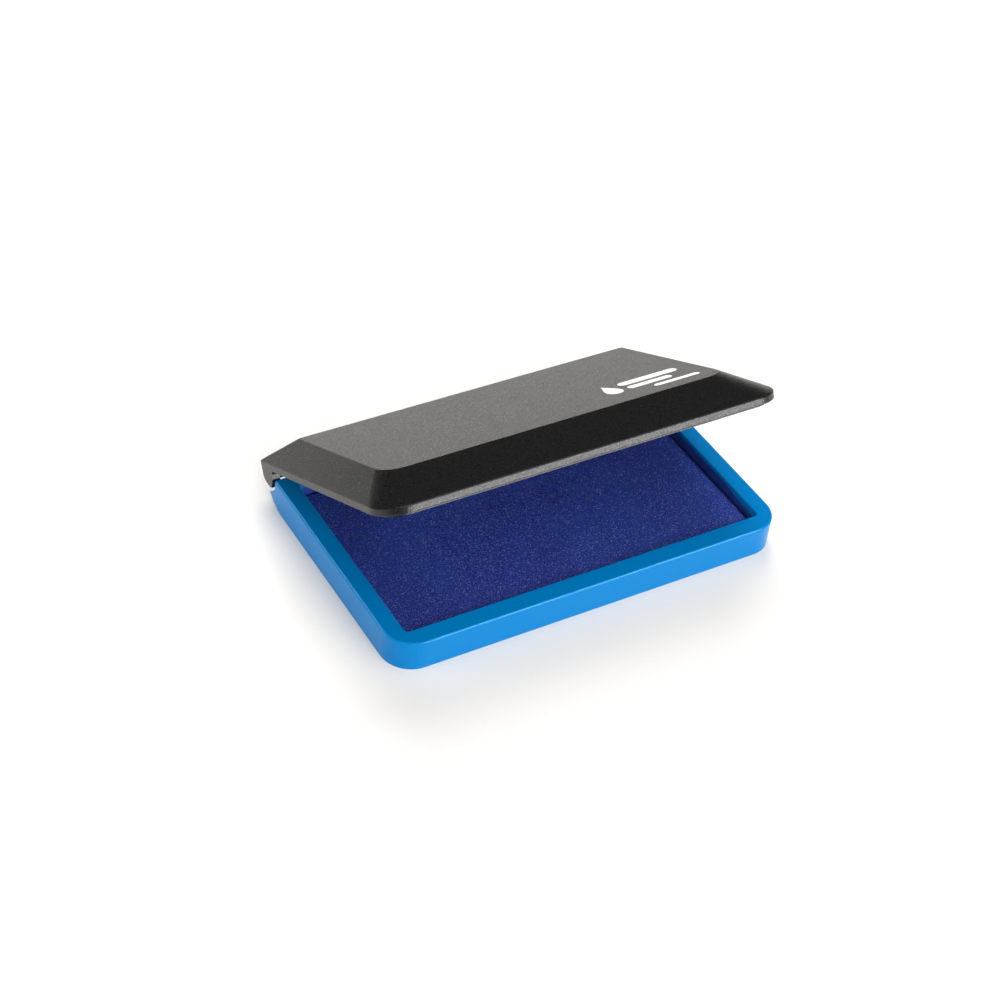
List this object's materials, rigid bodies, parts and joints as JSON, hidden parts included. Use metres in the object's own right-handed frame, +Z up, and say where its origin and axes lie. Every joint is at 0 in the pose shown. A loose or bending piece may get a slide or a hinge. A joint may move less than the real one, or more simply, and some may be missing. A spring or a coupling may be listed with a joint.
{
  "type": "ink pad",
  "caption": "Shallow rectangular ink pad with an inked cloth pad in a moulded tray and a hipped lid hinged along the back.",
  "frame": {"origin": "on the tray's flat underside, straight below the middle of the pad", "axes": "+X to the right along the hinge, -Y towards the front, +Z up, the tray flat on a table"},
  "size_m": [0.1006, 0.0657, 0.0384],
  "materials": {
    "tray_plastic": "moulded, glossy, cyan blue",
    "lid_plastic": "moulded, fine satin grain, black",
    "inked_cloth": "fine woven cloth soaked in blue ink",
    "ink_core": "porous felt soaked in blue ink",
    "backing_film": "thin plastic sheet",
    "pin_plastic": "moulded, smooth, black",
    "lid_print": "white pad-printed ink on the lid"
  },
  "bodies": {
    "base": {"tray": "tray_plastic", "pad_backing": "backing_film", "pad_core": "ink_core", "pad_cloth": "inked_cloth"},
    "cover": {"lid": "lid_plastic", "hinge_pin_left": "pin_plastic", "hinge_pin_right": "pin_plastic"}
  },
  "joints": [
    {"name": "lid_hinge", "type": "hinge", "parent": "base", "child": "cover", "pos_m": [0, 0.0321, 0.0063], "axis": [-1, 0, 0], "range_deg": [-28, 92]}
  ]
}
